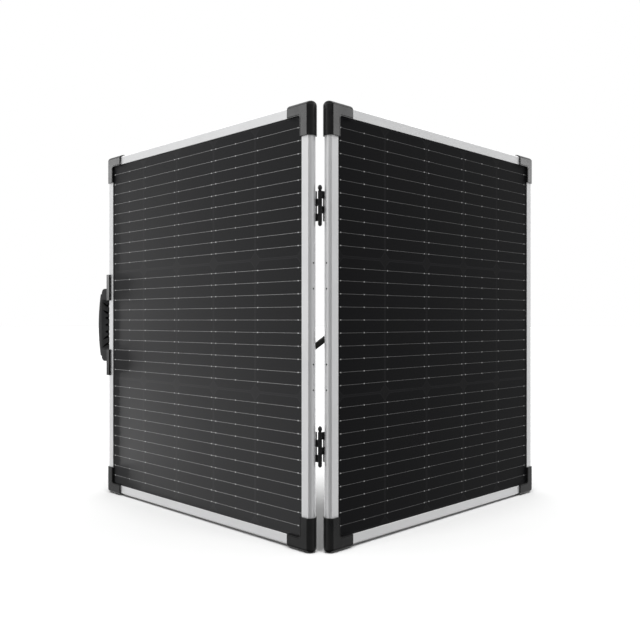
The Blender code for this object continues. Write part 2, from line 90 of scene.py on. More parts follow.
# Corner guards: their rims over the lip's edge, and their fixings in from the corner along s and z
RETURN_SIDES = ((0.05, 0.3), (0.9, 3.6))    # inset and corner radius, at the guard and toward the glass
RETURN_FOOT = 0.15          # above the glass
RETURN_HEAD = 0.1           # below the guard's front
GUARD_SCREWS = ((30.0, 13.0), (13.0, 30.0))

# Holes in the inner stiles, up and down from the middle, and the black discs in them that paint their shaded
# inside
HOLE_OFFSETS = (49.2, 82.6)
HOLE_SHADE_R = 1.25

# Cells and wiring behind the glass
CELL_ROWS = 3
CELL_COLUMNS = 5
WIRES = 10
WIRE_PITCH = 17.2
ROW_PITCH = 183.76
RELIEF_PITCH = 95.4         # between the column edges that show through the backsheet
CELL_GAP = 2.0
CELL_CHAMFER = 8.5
CELL_RIM = 0.7
WIRE_WIDE = 0.42
WIRE_INSET = 0.6            # from the glass's visible edge to a wire's end
WIRE_PAINTED_TONE = {"left": 0.17, "right": 0.105}      # the same wires, drawn lighter on the left: painted light fitted to this lighting
PAD_LONG = 2.3
PAD_HIGH = 1.5
PAD_TONE = 0.26
FIRST_PAD = 5.6
SECOND_PADS = (52.0, 89.9, 90.6, 52.0, 87.5)    # one for each column
SKIN = 0.02                 # step between the layers printed on the glass
GLASS_ROUGH = (0.48, 0.52)
GLASS_SPECULAR = 0.065      # fitted to this lighting; real glass has far more

# Hinge fixings
HINGE_SCREW_IN = 8.5        # from the leaf's far edge
HINGE_SCREW_SHARES = (0.2, 0.8)

# Grip: the outer front edge beyond this reach and depth is drawn lighter, a painted highlight
GRIP_HIGHLIGHT_SPAN = (28.5, 9.0)
# Its grooves: height from the middle, the tip's n, how far the tip sweeps away, radius
GROOVES = ((0.0, 9.8, 0.0, 3.1), (12.3, 9.8, 0.0, 3.1), (20.5, 14.0, 6.0, 2.5), (33.2, 14.0, 6.4, 2.5))
GROOVE_DEEP = 2.3
CAP_SCREW_IN = 8.0          # from the cap's far end

# Ribs round the feet and on the junction boxes' lids
FOOT_RIBS = 4
FOOT_RIB_START = 5.5
FOOT_RIB_PITCH = 3.2
FOOT_RIB_HIGH = 1.5
FOOT_RIB_PROUD = 0.25
LID_RIBS = 9
LID_RIB_PITCH = 4.2
LID_RIB_LONG = 62.0
LID_RIB_WIDE = 1.6
LID_SCREW_IN = 7.0

# Lead between the junction boxes: half of its route as (s, n, drop below the boxes' middle)
CABLE_R = 2.3               # half of the flat lead's thickness
CABLE_SPREAD = 1.6          # from the lead's middle to each of its two cores
CABLE_STEP = 3.6
CABLE_HALF = (
    (78.4, 5.0, 19.0), (70.4, 5.0, 19.0), (58.0, 4.6, 18.6), (46.0, 3.0, 17.6), (36.0, 0.6, 16.0),
    (28.0, -0.35, 13.8), (19.0, -0.35, 10.6), (11.0, -1.4, 5.4), (5.2, -4.0, 0.7),
)
CABLE_SIDES = 20

# Cards that only the black trim catches, one on each side, in metres
CARD = 5.0                  # radiance
CARD_ASIDE = 2.4
CARD_BEHIND = 0.35
CARD_WIDE = 1.6
CARD_HIGH = 1.2
CARD_OVER_CAMERA = 0.01     # its lower edge

# Cards that only the left glass catches: name, place, width, height, radiance
GLASS_CARDS = (
    ("ground_card", (-2.3, -0.40, -0.60), 1.2, 0.8, 10.0),
    ("sky_card", (-2.4, 0.5, 0.95), 2.6, 1.3, 1.3),
)
# The same for two that stand almost in the glass's plane; their places are the left panel's (s, n, z)
GRAZING_CARDS = (
    ("grazing_card", (2400.0, 115.0, -250.0), 0.14, 0.40, 190.0),
    ("grazing_card_up", (2400.0, 115.0, 350.0), 0.14, 0.60, 60.0),
)
GLASS_AIM = (260.0, 14.4)   # s and n of the spot that these four face

# Suns that only the floor catches
FLOOR_SUN = 6.3             # both together
FLOOR_SUN_LEAN = 25         # degrees from straight above
FLOOR_SUN_AROUND = 40       # and to each side of straight ahead
FLOOR_SUN_ANGLE = 20        # apparent width
FLOOR_HALF = 30.0           # half of the floor's side, in metres

# Light from each side of the studio
SKY_TOP = 1.9               # soft box overhead
SKY_LEFT = 0.88             # wall on the left, above the horizon
GROUND_LEFT = 0.65          # ground on the left, below it
GROUND_UNDER = 0.12         # straight below
WALL_RIGHT = 0.50
WALL_BEHIND = 1.0           # backdrop
WALL_FRONT = 0.10           # behind the camera

UP = Vector((0, 0, 1))
FOLD = next(j for j in frame["joints"] if j["name"] == "fold")
AXIS = Vector((FOLD["pos_m"][0], FOLD["pos_m"][1], 0.0))
MIDDLE = FOLD["pos_m"][2] / MM


class Panel:
    """One half of the module. way is -1 for the left panel and 1 for the right one."""

    def __init__(self, name, way):
        self.name = name
        self.body = name + "_panel"
        self.along = Vector((way, 1, 0)).normalized()
        self.out = Vector((way, -1, 0)).normalized()
        self.turn = math.atan2(self.along.y, self.along.x)
        self.glass = self.span(name + "_glass")
        low, high = self.glass
        rim = GLASS_UNDER_LIP
        corner = Vector((low.x + rim, high.y, low.z + rim))
        self.opening = (corner, Vector((high.x - rim, high.y, high.z - rim)))

    def place(self, point):
        """A point's place in metres from its (s, n, z)."""
        s, n, z = point
        return AXIS + (self.along * s + self.out * n + UP * z) * MM

    def span(self, node):
        """Lowest and highest (s, n, z) of a CAD node."""
        low, high = Vector((1e9,) * 3), Vector((-1e9,) * 3)
        for vert in frame["nodes"][node].data.vertices:
            arm = vert.co - AXIS
            spot = Vector((arm.dot(self.along), arm.dot(self.out), arm.z)) / MM
            low = Vector(map(min, low, spot))
            high = Vector(map(max, high, spot))
        return low, high


LEFT = Panel("left", -1)
RIGHT = Panel("right", 1)
PANELS = (LEFT, RIGHT)


# ---------------------------------------------------------------- camera

def make_camera():
    data = bpy.data.cameras.new("camera")
    data.lens = CAMERA_LENS
    data.sensor_width = 36.0
    camera = bpy.data.objects.new("camera", data)
    bpy.context.scene.collection.objects.link(camera)
    camera.location = AXIS + Vector((0, -CAMERA_BACK, MIDDLE * MM + CAMERA_RISE))
    camera.rotation_euler = (math.pi / 2, 0, 0)
    bpy.context.scene.camera = camera


# ---------------------------------------------------------------- materials

def add(tree, kind, values=None, **settings):
    """A new node, with its inputs set to values or linked from sockets."""
    made = tree.nodes.new(kind)
    for key, value in settings.items():
        setattr(made, key, value)
    for key, value in (values or {}).items():
        if isinstance(value, bpy.types.NodeSocket):
            tree.links.new(value, made.inputs[key])
        else:
            made.inputs[key].default_value = value
    return made


def new_material(name, **constants):
    mat = bpy.data.materials.new(name)
    mat.use_nodes = True
    shader = mat.node_tree.nodes["Principled BSDF"]
    for key, value in constants.items():
        shader.inputs[key.replace("_", " ")].default_value = value
    return mat, mat.node_tree, shader


def panel_coords(tree, turn):
    """Object coordinates in metres, turned so that x runs along the panel."""
    coords = add(tree, "ShaderNodeTexCoord").outputs["Object"]
    rotate = add(tree, "ShaderNodeVectorRotate", {"Vector": coords, "Angle": -turn}, rotation_type="Z_AXIS")
    return rotate.outputs["Vector"]


def noise(tree, coords, scale, detail=3.0, stretch=(1, 1, 1)):
    """Noise about 0.5; scale is in cells per metre, stretch is a factor for each axis."""
    mapping = add(tree, "ShaderNodeMapping", {"Vector": coords, "Scale": stretch})
    made = add(tree, "ShaderNodeTexNoise", {
        "Vector": mapping.outputs["Vector"], "Scale": scale, "Detail": detail, "Roughness": 0.55,
    })
    return made.outputs["Fac"]


def remap(tree, value, low, high, from_low=0.3, from_high=0.7):
    made = add(tree, "ShaderNodeMapRange", {
        "Value": value, "From Min": from_low, "From Max": from_high, "To Min": low, "To Max": high,
    })
    return made.outputs["Result"]


def mix_colour(tree, factor, first, second):
    made = add(tree, "ShaderNodeMix", {"Factor": factor}, data_type="RGBA")
    for socket, value in zip([i for i in made.inputs if i.type == "RGBA"], (first, second)):
        if isinstance(value, bpy.types.NodeSocket):
            tree.links.new(value, socket)
        else:
            socket.default_value = (*value, 1.0)
    return next(o for o in made.outputs if o.type == "RGBA")


def bump(tree, shader, height, strength, distance):
    made = add(tree, "ShaderNodeBump", {"Height": height, "Strength": strength, "Distance": distance})
    tree.links.new(made.outputs["Normal"], shader.inputs["Normal"])


def finish(tree, shader, colour=None, roughness=None):
    if colour is not None:
        tree.links.new(colour, shader.inputs["Base Color"])
    if roughness is not None:
        tree.links.new(roughness, shader.inputs["Roughness"])


def aluminium(name, turn, run, dark=(0.70, 0.705, 0.71), light=(0.80, 0.80, 0.805), rough=(0.36, 0.46)):
    """Satin anodised extrusion: fine die lines along run, cloudy tone, a little grain."""
    mat, tree, shader = new_material(name, Metallic=0.75, IOR=1.5)
    coords = panel_coords(tree, turn)
    drawn = [1.0, 1.0, 1.0]
    drawn["xyz".index(run)] = 0.012
    lines = noise(tree, coords, 2200.0, 2.0, drawn)
    cloud = noise(tree, coords, 14.0, 4.0)
    colour = mix_colour(tree, remap(tree, cloud, 0.25, 0.75), dark, light)
    colour = mix_colour(tree, remap(tree, lines, 0.0, 0.22), colour, (0.88, 0.88, 0.885))
    finish(tree, shader, colour, remap(tree, lines, *rough))
    bump(tree, shader, lines, 0.16, 0.00012)
    return mat


def rubbed_and_highlit_aluminium(name, turn):
    """The brighter and smoother metal of rounded edges: partly rubbing, partly a painted edge highlight."""
    return aluminium(name, turn, "z", (0.80, 0.80, 0.805), (0.90, 0.90, 0.90), (0.26, 0.34))


def moulded(name, tone, rough, grain=1700.0, depth=0.00016, scuff=0.02, specular=0.35):
    """Black moulded plastic with a fine spark-eroded grain and faint scuffs."""
    mat, tree, shader = new_material(name, IOR=1.5, Specular_IOR_Level=specular)
    coords = add(tree, "ShaderNodeTexCoord").outputs["Object"]
    fine = noise(tree, coords, grain, 2.0)
    cloud = noise(tree, coords, 35.0, 4.0)
    marks = noise(tree, coords, 160.0, 5.0, (1.0, 1.0, 0.35))
    worn = remap(tree, marks, 0.0, 1.0, 0.60, 0.74)
    low = (tone, tone, tone * 1.02)
    high = (tone * 1.35, tone * 1.35, tone * 1.37)
    colour = mix_colour(tree, remap(tree, cloud, 0.0, 1.0), low, high)
    colour = mix_colour(tree, worn, colour, (tone + scuff,) * 3)
    finish(tree, shader, colour, remap(tree, cloud, rough - 0.05, rough + 0.06))
    bump(tree, shader, fine, 0.35, depth)
    return mat


def coated_steel(name):
    """Hinge steel under black powder coat, with a slight orange peel."""
    mat, tree, shader = new_material(name, IOR=1.5, Specular_IOR_Level=0.4)
    coords = add(tree, "ShaderNodeTexCoord").outputs["Object"]
    peel = noise(tree, coords, 900.0, 2.0)
    cloud = noise(tree, coords, 120.0, 3.0)
    colour = mix_colour(tree, remap(tree, cloud, 0, 1), (0.006, 0.006, 0.0062), (0.010, 0.010, 0.0105))
    finish(tree, shader, colour, remap(tree, cloud, 0.30, 0.42))
    bump(tree, shader, peel, 0.3, 0.0002)
    return mat


def bright_steel(name):
    """Stainless steel with turned, slightly streaky roughness."""
    mat, tree, shader = new_material(name, Metallic=1.0)
    coords = add(tree, "ShaderNodeTexCoord").outputs["Object"]
    streaks = noise(tree, coords, 1500.0, 3.0, (1.0, 1.0, 0.2))
    colour = mix_colour(tree, remap(tree, streaks, 0, 1), (0.50, 0.50, 0.49), (0.66, 0.66, 0.65))
    finish(tree, shader, colour, remap(tree, streaks, 0.22, 0.38))
    bump(tree, shader, streaks, 0.15, 0.0001)
    return mat


def rubber(name, tint=(0.020, 0.020, 0.020), rough=0.62):
    mat, tree, shader = new_material(name, IOR=1.5, Specular_IOR_Level=0.4)
    coords = add(tree, "ShaderNodeTexCoord").outputs["Object"]
    fine = noise(tree, coords, 2600.0, 2.0)
    dust = noise(tree, coords, 90.0, 5.0)
    light = tuple(c * 1.7 for c in tint)
    colour = mix_colour(tree, remap(tree, dust, 0, 1), tint, light)
    finish(tree, shader, colour, remap(tree, dust, rough - 0.06, rough + 0.1))
    bump(tree, shader, fine, 0.3, 0.0001)
    return mat


def stripes(tree, coords, axis, pitch, width):
    """1 on thin lines that repeat along an axis, 0 between them."""
    part = add(tree, "ShaderNodeSeparateXYZ", {"Vector": coords}).outputs[axis]
    turned = add(tree, "ShaderNodeMath", {0: part, 1: pitch}, operation="PINGPONG").outputs[0]
    return add(tree, "ShaderNodeMapRange", {
        "Value": turned, "From Min": width / 2, "From Max": 0.0, "To Min": 0.0, "To Max": 1.0,
    }).outputs["Result"]


def under_glass(name, tone, line=None, turn=0.0):
    """A layer seen through satin glass: the glass gives the gloss, tone the colour behind it."""
    mat, tree, shader = new_material(name, IOR=1.5, Specular_IOR_Level=GLASS_SPECULAR)
    coords = panel_coords(tree, turn)
    haze = noise(tree, coords, 9.0, 4.0)
    satin = noise(tree, coords, 3000.0, 1.0)
    light = tuple(c * 1.25 for c in tone)
    colour = mix_colour(tree, remap(tree, haze, 0, 1), tone, light)
    if line:
        fingers = stripes(tree, coords, "X", 0.0007, 0.00022)
        colour = mix_colour(tree, fingers, colour, line)
    finish(tree, shader, colour, remap(tree, haze, *GLASS_ROUGH))
    bump(tree, shader, satin, 0.05, 0.00004)
    return mat


def backsheet(name, turn):
    """Black laminated film that shows the cells and ribbons behind it as a faint relief."""
    mat, tree, shader = new_material(name, IOR=1.45, Specular_IOR_Level=0.4)
    coords = panel_coords(tree, turn)
    cloud = noise(tree, coords, 12.0, 4.0)
    fine = noise(tree, coords, 1400.0, 2.0)
    ribbons = stripes(tree, coords, "Z", WIRE_PITCH / 2 * MM, 0.0016)
    edges = stripes(tree, coords, "X", RELIEF_PITCH / 2 * MM, 0.003)
    relief = add(tree, "ShaderNodeMath", {0: ribbons, 1: edges}, operation="MAXIMUM").outputs[0]
    height = add(tree, "ShaderNodeMath", {0: fine, 1: 0.08, 2: relief}, operation="MULTIPLY_ADD").outputs[0]
    colour = mix_colour(tree, remap(tree, cloud, 0, 1), (0.016, 0.016, 0.017), (0.026, 0.026, 0.027))
    finish(tree, shader, colour, remap(tree, cloud, 0.40, 0.52))
    bump(tree, shader, height, 0.45, 0.0003)
    return mat


PLASTIC = moulded("guard_plastic", 0.0075, 0.30, depth=0.00008, specular=0.22, scuff=0.006)
# Darker, less glossy black for rounded edges and shaded sides: painted shade
PLASTIC_PAINTED_SHADE = moulded("guard_plastic_edge", 0.004, 0.30, depth=0.00008, specular=0.06, scuff=0.003)
BOX_PLASTIC = moulded("box_plastic", 0.020, 0.42, grain=1100.0)
# Lighter box edges: partly rubbing wear, partly a painted edge highlight
BOX_EDGE = moulded("box_plastic_edge", 0.030, 0.36, grain=1100.0)
GRIP_PLASTIC = moulded("grip_plastic", 0.028, 0.50, grain=1300.0, depth=0.0002, scuff=0.006, specular=0.08)
# A lighter rounded edge on the grip's outer front: painted highlight
GRIP_PAINTED_HIGHLIGHT = moulded("grip_plastic_edge", 0.045, 0.38, grain=1300.0, depth=0.0002, scuff=0.008)
# Painted shade, fitted too: the grooves and the caps' inner faces are darker than any real plastic
GROOVE_PAINTED_SHADE = moulded("grip_groove", 0.002, 0.75, grain=1300.0, specular=0.03, scuff=0.0)
HINGE_STEEL = coated_steel("hinge_steel")
SCREW_STEEL = bright_steel("screw_steel")
FOOT_RUBBER = rubber("foot_rubber")
SEAL_RUBBER = rubber("seal_rubber", (0.008, 0.008, 0.008), 0.7)
JACKET = rubber("cable_jacket", (0.007, 0.007, 0.005), 0.5)


# ---------------------------------------------------------------- mesh helpers

def shade(mesh, angle):
    mesh.shade_smooth()
    mesh.set_sharp_from_angle(angle=math.radians(angle))


def new_object(name, mesh, materials, slot, body, replaces=(), weighted=True):
    """A piece with its finishes, the body it rides on and the CAD nodes it stands in for."""
    obj = bpy.data.objects.new(name, mesh)
    bpy.context.scene.collection.objects.link(obj)
    for mat in materials:
        mesh.materials.append(mat)
    if weighted:
        modifier = obj.modifiers.new("level_faces", "WEIGHTED_NORMAL")
        modifier.keep_sharp = True
    if body:
        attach(obj, body)
    if replaces:
        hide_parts(*replaces)
    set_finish(obj, slot)
    return obj


def outward(bm):
    """Turn a closed mesh's faces outward."""
    bmesh.ops.recalc_face_normals(bm, faces=bm.faces)
    if bm.calc_volume(signed=True) < 0:
        bmesh.ops.reverse_faces(bm, faces=bm.faces)


def panel_piece(name, bm, panel, materials, slot, replaces=(), angle=35, body=None, weighted=True):
    """Write a mesh given in a panel's (s, n, z) as a piece that rides on the panel."""
    for vert in bm.verts:
        vert.co = panel.place(vert.co)
    outward(bm)
    mesh = bpy.data.meshes.new(name)
    bm.to_mesh(mesh)
    bm.free()
    shade(mesh, angle)
    return new_object(name, mesh, materials, slot, body or panel.body, replaces, weighted)


def soften(bm, width, segments=2, angle=30.0, material=1, shortest=0.0):
    """Round every edge sharper than angle; the new faces take the given material slot."""
    sharp = []
    for edge in bm.edges:
        if len(edge.link_faces) != 2 or edge.calc_length() < shortest:
            continue
        if edge.calc_face_angle(0.0) > math.radians(angle):
            sharp.append(edge)
    bmesh.ops.bevel(
        bm, geom=sharp, offset=width, offset_type="OFFSET", segments=segments, profile=0.5,
        affect="EDGES", clamp_overlap=True, material=material,
    )


def refined(node, materials, slot, body, width=0.35, segments=2, angle=30.0, shortest=0.0):
    """A CAD node's shape again, with its edges rounded and its facets shaded smooth."""
    bm = bmesh.new()
    bm.from_mesh(frame["nodes"][node].data)
    bmesh.ops.remove_doubles(bm, verts=bm.verts, dist=0.002 * MM)
    bmesh.ops.dissolve_limit(bm, angle_limit=math.radians(0.6), verts=bm.verts, edges=bm.edges)
    for face in bm.faces:
        face.material_index = 0
    soften(bm, width * MM, segments, angle, 1, shortest * MM)
    outward(bm)
    name = node + "_finished"
    mesh = bpy.data.meshes.new(name)
    bm.to_mesh(mesh)
    bm.free()
    shade(mesh, 38)
    return new_object(name, mesh, materials, slot, body, (node,))


def arc(centre, radius, start, end, steps):
    cx, cy = centre
    angles = [start + (end - start) * i / steps for i in range(steps + 1)]
    return [(cx + radius * math.cos(a), cy + radius * math.sin(a)) for a in angles]


def loft(bm, rings, material=0, caps=(True, True)):
    """Join closed rings of equally many points."""
    loops = [[bm.verts.new(p) for p in ring] for ring in rings]
    faces = []
    for here, there in zip(loops, loops[1:]):
        for i in range(len(here)):
            j = (i + 1) % len(here)
            faces.append(bm.faces.new((here[i], here[j], there[j], there[i])))
    for cap, loop in zip(caps, (loops[0], loops[-1])):
        if cap:
            faces.append(bm.faces.new(loop))
    for face in faces:
        face.material_index = material
    return faces


def slab(bm, outline, low, high, put, material=0):
    """A flat plate of (a, b) points between two levels."""
    return loft(bm, [[put(a, b, level) for a, b in outline] for level in (low, high)], material)


def rectangle(low_a, low_b, high_a, high_b):
    return [(low_a, low_b), (high_a, low_b), (high_a, high_b), (low_a, high_b)]


def rounded(wide, high, radius, steps=4):
    """A rounded rectangle about the origin."""
    outline = []
    for k, (sx, sy) in enumerate(((1, 1), (-1, 1), (-1, -1), (1, -1))):
        centre = (sx * (wide / 2 - radius), sy * (high / 2 - radius))
        outline += arc(centre, radius, k * math.pi / 2, (k + 1) * math.pi / 2, steps)
    return outline


def hexagon(radius, steps):
    """A regular hexagon drawn with steps points on each side."""
    corners = [(radius * math.cos(math.pi / 3 * k), radius * math.sin(math.pi / 3 * k)) for k in range(6)]
    points = []
    for here, there in zip(corners, corners[1:] + corners[:1]):
        for i in range(steps):
            t = i / steps
            points.append((here[0] + (there[0] - here[0]) * t, here[1] + (there[1] - here[1]) * t))
    return points


def screw(bm, put, radius, proud):
    """A button head with a hexagon socket; put(a, b, level) gives each point, level 0 on the surface."""
    steps = 4
    rings = []
    for share, level in ((1.0, -0.3), (1.0, 0.2), (0.93, 0.62), (0.72, 0.92), (0.55, 1.0)):
        circle = arc((0, 0), radius * share, 0, 2 * math.pi, 6 * steps)[:-1]
        rings.append([put(a, b, level * proud) for a, b in circle])
    socket = hexagon(radius * 0.46, steps)
    rings.append([put(a, b, proud) for a, b in socket])
    rings.append([put(a, b, -0.1 * proud) for a, b in socket])
    loft(bm, rings)


# ---------------------------------------------------------------- frame members and guards

def make_frame(panel):
    rail = aluminium(panel.name + "_rail_aluminium", panel.turn, "x")
    stile = aluminium(panel.name + "_stile_aluminium", panel.turn, "z")
    edge = rubbed_and_highlit_aluminium("edge_aluminium_" + panel.name, panel.turn)
    members = (("top_rail", rail), ("bottom_rail", rail), ("inner_stile", stile), ("outer_stile", stile))
    for label, mat in members:
        node = panel.name + "_" + label
        refined(node, (mat, edge), "anodised_aluminium", panel.body, 0.4, 3, 30.0, 2.0)


def make_guards(panel):
    """Corner guards; their rounded edges and the sides that face up, down or past the panel's end take the
    darker material, painted shade.
    """
    for height in ("top", "bottom"):
        for side in ("inner", "outer"):
            node = "%s_%s_%s_guard" % (panel.name, height, side)
            guard = refined(node, (PLASTIC, PLASTIC_PAINTED_SHADE), "black_plastic", panel.body, 0.4, 3)
            for face in guard.data.polygons:
                at_end = side == "outer" and face.normal.dot(panel.along) > 0.25
                # Painted shade: the faces that look up, down or past the panel's end take the darker
                # material
                if (abs(face.normal.z) > 0.25 or at_end) and face.normal.dot(panel.out) < 0.97:
                    face.material_index = 1


def make_guard_returns(panel):
    """The rim that each guard turns down over the lip's edge, round at the inside corner."""
    low, high = panel.opening
    foot = low.y + RETURN_FOOT
    head = panel.span(panel.name + "_top_inner_guard")[1].y - RETURN_HEAD
    at_guard, at_glass = RETURN_SIDES
    bm = bmesh.new()
    for height in ("top", "bottom"):
        for side in ("inner", "outer"):
            box_low, box_high = panel.span("%s_%s_%s_guard" % (panel.name, height, side))
            s_corner, s_way = (low.x, 1) if side == "inner" else (high.x, -1)
            z_corner, z_way = (high.z, -1) if height == "top" else (low.z, 1)
            arm_s = (box_high.x - s_corner) if side == "inner" else (s_corner - box_low.x)
            arm_z = (z_corner - box_low.z) if height == "top" else (box_high.z - z_corner)
            rings = []
            section = ((at_guard, foot), (at_guard, head), (at_glass, head), (at_glass, foot))
            for (inset, radius), level in section:
                line = [(arm_s, inset)]
                line += arc((inset + radius, inset + radius), radius, -math.pi / 2, -math.pi, 8)
                line += [(inset, arm_z)]
                rings.append([(s_corner + s_way * a, level, z_corner + z_way * b) for a, b in line])
            strips = [[bm.verts.new(p) for p in ring] for ring in rings]
            for here, there in zip(strips, strips[1:] + strips[:1]):
                for i in range(len(here) - 1):
                    bm.faces.new((here[i], here[i + 1], there[i + 1], there[i]))
            for end in (0, -1):
                bm.faces.new([strip[end] for strip in strips])
    panel_piece(panel.name + "_guard_returns", bm, panel, (PLASTIC,), "black_plastic")


def make_hole_shade(panel):
    """Black domed discs a little below the inner stile's surface in its drilled holes: painted shade for the
    holes' dark inside.
    """
    nose, back = panel.span(panel.name + "_inner_stile")[0].xy
    n = back + DEPTH / 2
    bm = bmesh.new()
    for offset in HOLE_OFFSETS:
        for way in (-1, 1):
            z = MIDDLE + way * offset
            rings = []
            for share, depth in ((1.0, 2.2), (1.0, 0.8), (0.8, 0.55), (0.4, 0.45), (0.1, 0.42)):
                spots = arc((0, 0), HOLE_SHADE_R * share, 0, 2 * math.pi, 20)[:-1]
                rings.append([(nose + depth, n + a, z + b) for a, b in spots])
            loft(bm, rings)
    panel_piece(panel.name + "_hole_plugs", bm, panel, (SEAL_RUBBER,), "rubber")


def make_guard_screws(panel):
    """Two countersunk fixings in the back of each guard, level with it."""
    bm = bmesh.new()
    for height in ("top", "bottom"):
        for side in ("inner", "outer"):
            low, high = panel.span("%s_%s_%s_guard" % (panel.name, height, side))
            inward_s = 1 if side == "inner" else -1
            inward_z = -1 if height == "top" else 1
            corner_s = low.x if side == "inner" else high.x
            corner_z = high.z if height == "top" else low.z
            for run, across in GUARD_SCREWS:
                s = corner_s + inward_s * run
                z = corner_z + inward_z * across
                screw(bm, lambda a, b, level: (s + a, low.y - level, z + b), 2.9, 0.18)
    panel_piece(panel.name + "_guard_screws", bm, panel, (SCREW_STEEL,), "stainless_steel")


# ---------------------------------------------------------------- glass, cells and wiring

def make_glass(panel):
    low, high = panel.glass
    bm = bmesh.new()
    outline = rectangle(low.x, low.z, high.x, high.z)
    slab(bm, outline, low.y, high.y, lambda s, z, n: (s, n, z))
    soften(bm, 0.5)
    pane = under_glass(panel.name + "_pane", (0.006, 0.006, 0.0065), None, panel.turn)
    panel_piece(panel.name + "_glass_pane", bm, panel, (pane, pane), "solar_glass", (panel.name + "_glass",))


def cell_outline(wide, high, cut):
    """A rectangle about the origin with its corners cut off."""
    a, b = wide / 2, high / 2
    return [(a - cut, b), (-a + cut, b), (-a, b - cut), (-a, -b + cut), (-a + cut, -b), (a - cut, -b),
            (a, -b + cut), (a, b - cut)]


def cell_centres(panel):
    """Column, centre and width of each half cell, columns counted from the left as seen from the front."""
    low, high = panel.opening
    pitch = (high.x - low.x) / CELL_COLUMNS
    from_left = high.x if panel is LEFT else low.x
    way = -1 if panel is LEFT else 1
    middle = (low.z + high.z) / 2
    for row in range(CELL_ROWS):
        for column in range(CELL_COLUMNS):
            s = from_left + way * pitch * (column + 0.5)
            yield column, s, middle + ROW_PITCH * (row - (CELL_ROWS - 1) / 2), pitch


def make_cells(panel):
    face = panel.opening[0].y
    bm = bmesh.new()
    for column, s, z, pitch in cell_centres(panel):
        wide, high = pitch - CELL_GAP, ROW_PITCH - CELL_GAP
        outer = cell_outline(wide, high, CELL_CHAMFER)
        inner = cell_outline(wide - 2 * CELL_RIM, high - 2 * CELL_RIM, CELL_CHAMFER - 0.4 * CELL_RIM)
        rings = []
        for outline, level in ((outer, -SKIN), (outer, SKIN), (inner, SKIN)):
            rings.append([(s + a, face + level, z + b) for a, b in outline])
        loft(bm, rings, 1, (True, False))
        rings = [[(s + a, face + level, z + b) for a, b in inner] for level in (SKIN, SKIN * 1.01)]
        loft(bm, rings, 0, (False, True))
    bmesh.ops.remove_doubles(bm, verts=bm.verts, dist=SKIN * 0.02)
    cell = under_glass(panel.name + "_cell", (0.0030, 0.0031, 0.0036), (0.0085, 0.0085, 0.0095), panel.turn)
    rim = under_glass(panel.name + "_cell_rim", (0.011, 0.011, 0.012), None, panel.turn)
    replaces = (panel.name + "_cell_layer",)
    panel_piece(panel.name + "_cells", bm, panel, (cell, rim), "solar_cells", replaces, 30, None, False)


def wire_heights(row_centre):
    return [row_centre + WIRE_PITCH * (k - (WIRES - 1) / 2) for k in range(WIRES)]


def make_wires(panel):
    low, high = panel.opening
    face = low.y + 2 * SKIN
    bm = bmesh.new()
    half = WIRE_WIDE / 2
    for centre in sorted({z for column, s, z, pitch in cell_centres(panel)}):
        for z in wire_heights(centre):
            outline = rectangle(low.x + WIRE_INSET, z - half, high.x - WIRE_INSET, z + half)
            slab(bm, outline, face - SKIN, face + SKIN, lambda s, z, n: (s, n, z))
    # Painted light: the left and right wires get different tones to match how each panel is lit
    tone = WIRE_PAINTED_TONE[panel.name]
    wire = under_glass(panel.name + "_wire", (tone, tone, tone), None, panel.turn)
    panel_piece(panel.name + "_wires", bm, panel, (wire,), "solar_cells", (), 30, None, False)


def make_pads(panel):
    face = panel.opening[0].y + 3 * SKIN
    way = -1 if panel is LEFT else 1
    bm = bmesh.new()
    outline = rounded(PAD_LONG, PAD_HIGH, PAD_HIGH * 0.42, 3)
    for column, s, centre, pitch in cell_centres(panel):
        left_edge = s - way * pitch / 2
        for offset in (FIRST_PAD, SECOND_PADS[column]):
            for z in wire_heights(centre):
                middle = left_edge + way * offset
                slab(bm, outline, face - SKIN, face + SKIN, lambda a, b, n: (middle + a, n, z + b))
    pad = under_glass(panel.name + "_pad", (PAD_TONE, PAD_TONE, PAD_TONE), None, panel.turn)
    panel_piece(panel.name + "_pads", bm, panel, (pad,), "solar_cells", (), 30, None, False)


def make_seal(panel):
    """Black sealant fillet that fills the corner between the lip and the glass; its black also paints the
    lip's shade along the glass's edge.
    """
    low, high = panel.opening
    face = low.y
    under_lip = face + DEPTH - LIP_THICK - GLASS_FRONT
    section = (
        (-0.8, face - 0.05), (0.75, face - 0.05), (0.45, face + 0.12),
        (-0.15, under_lip - 0.02), (-0.8, under_lip - 0.02),
    )
    bm = bmesh.new()
    rings = []
    for inset, level in section:
        outline = rectangle(low.x + inset, low.z + inset, high.x - inset, high.z - inset)
        rings.append([bm.verts.new((s, level, z)) for s, z in outline])
    for here, there in zip(rings, rings[1:] + rings[:1]):
        for i in range(4):
            j = (i + 1) % 4
            bm.faces.new((here[i], here[j], there[j], there[i]))
    panel_piece(panel.name + "_seal", bm, panel, (SEAL_RUBBER,), "rubber")


def make_backsheet(panel):
    low, high = panel.span(panel.name + "_backsheet")
    bm = bmesh.new()
    outline = rectangle(low.x, low.z, high.x, high.z)
    slab(bm, outline, low.y, high.y, lambda s, z, n: (s, n, z))
    soften(bm, 0.15)
    film = backsheet(panel.name + "_backsheet_film", panel.turn)
    node = panel.name + "_backsheet"
    panel_piece(node + "_sheet", bm, panel, (film, film), "backsheet", (node,))


# ---------------------------------------------------------------- hinges and handle

def make_hinges():
    for height in ("upper", "lower"):
        for panel in PANELS:
            node = "%s_hinge_%s_leaf" % (height, panel.name)
            refined(node, (HINGE_STEEL, HINGE_STEEL), "black_steel", panel.body, 0.25, 2)
        refined(height + "_hinge_pin", (HINGE_STEEL, HINGE_STEEL), "black_steel", LEFT.body, 0.25, 2)


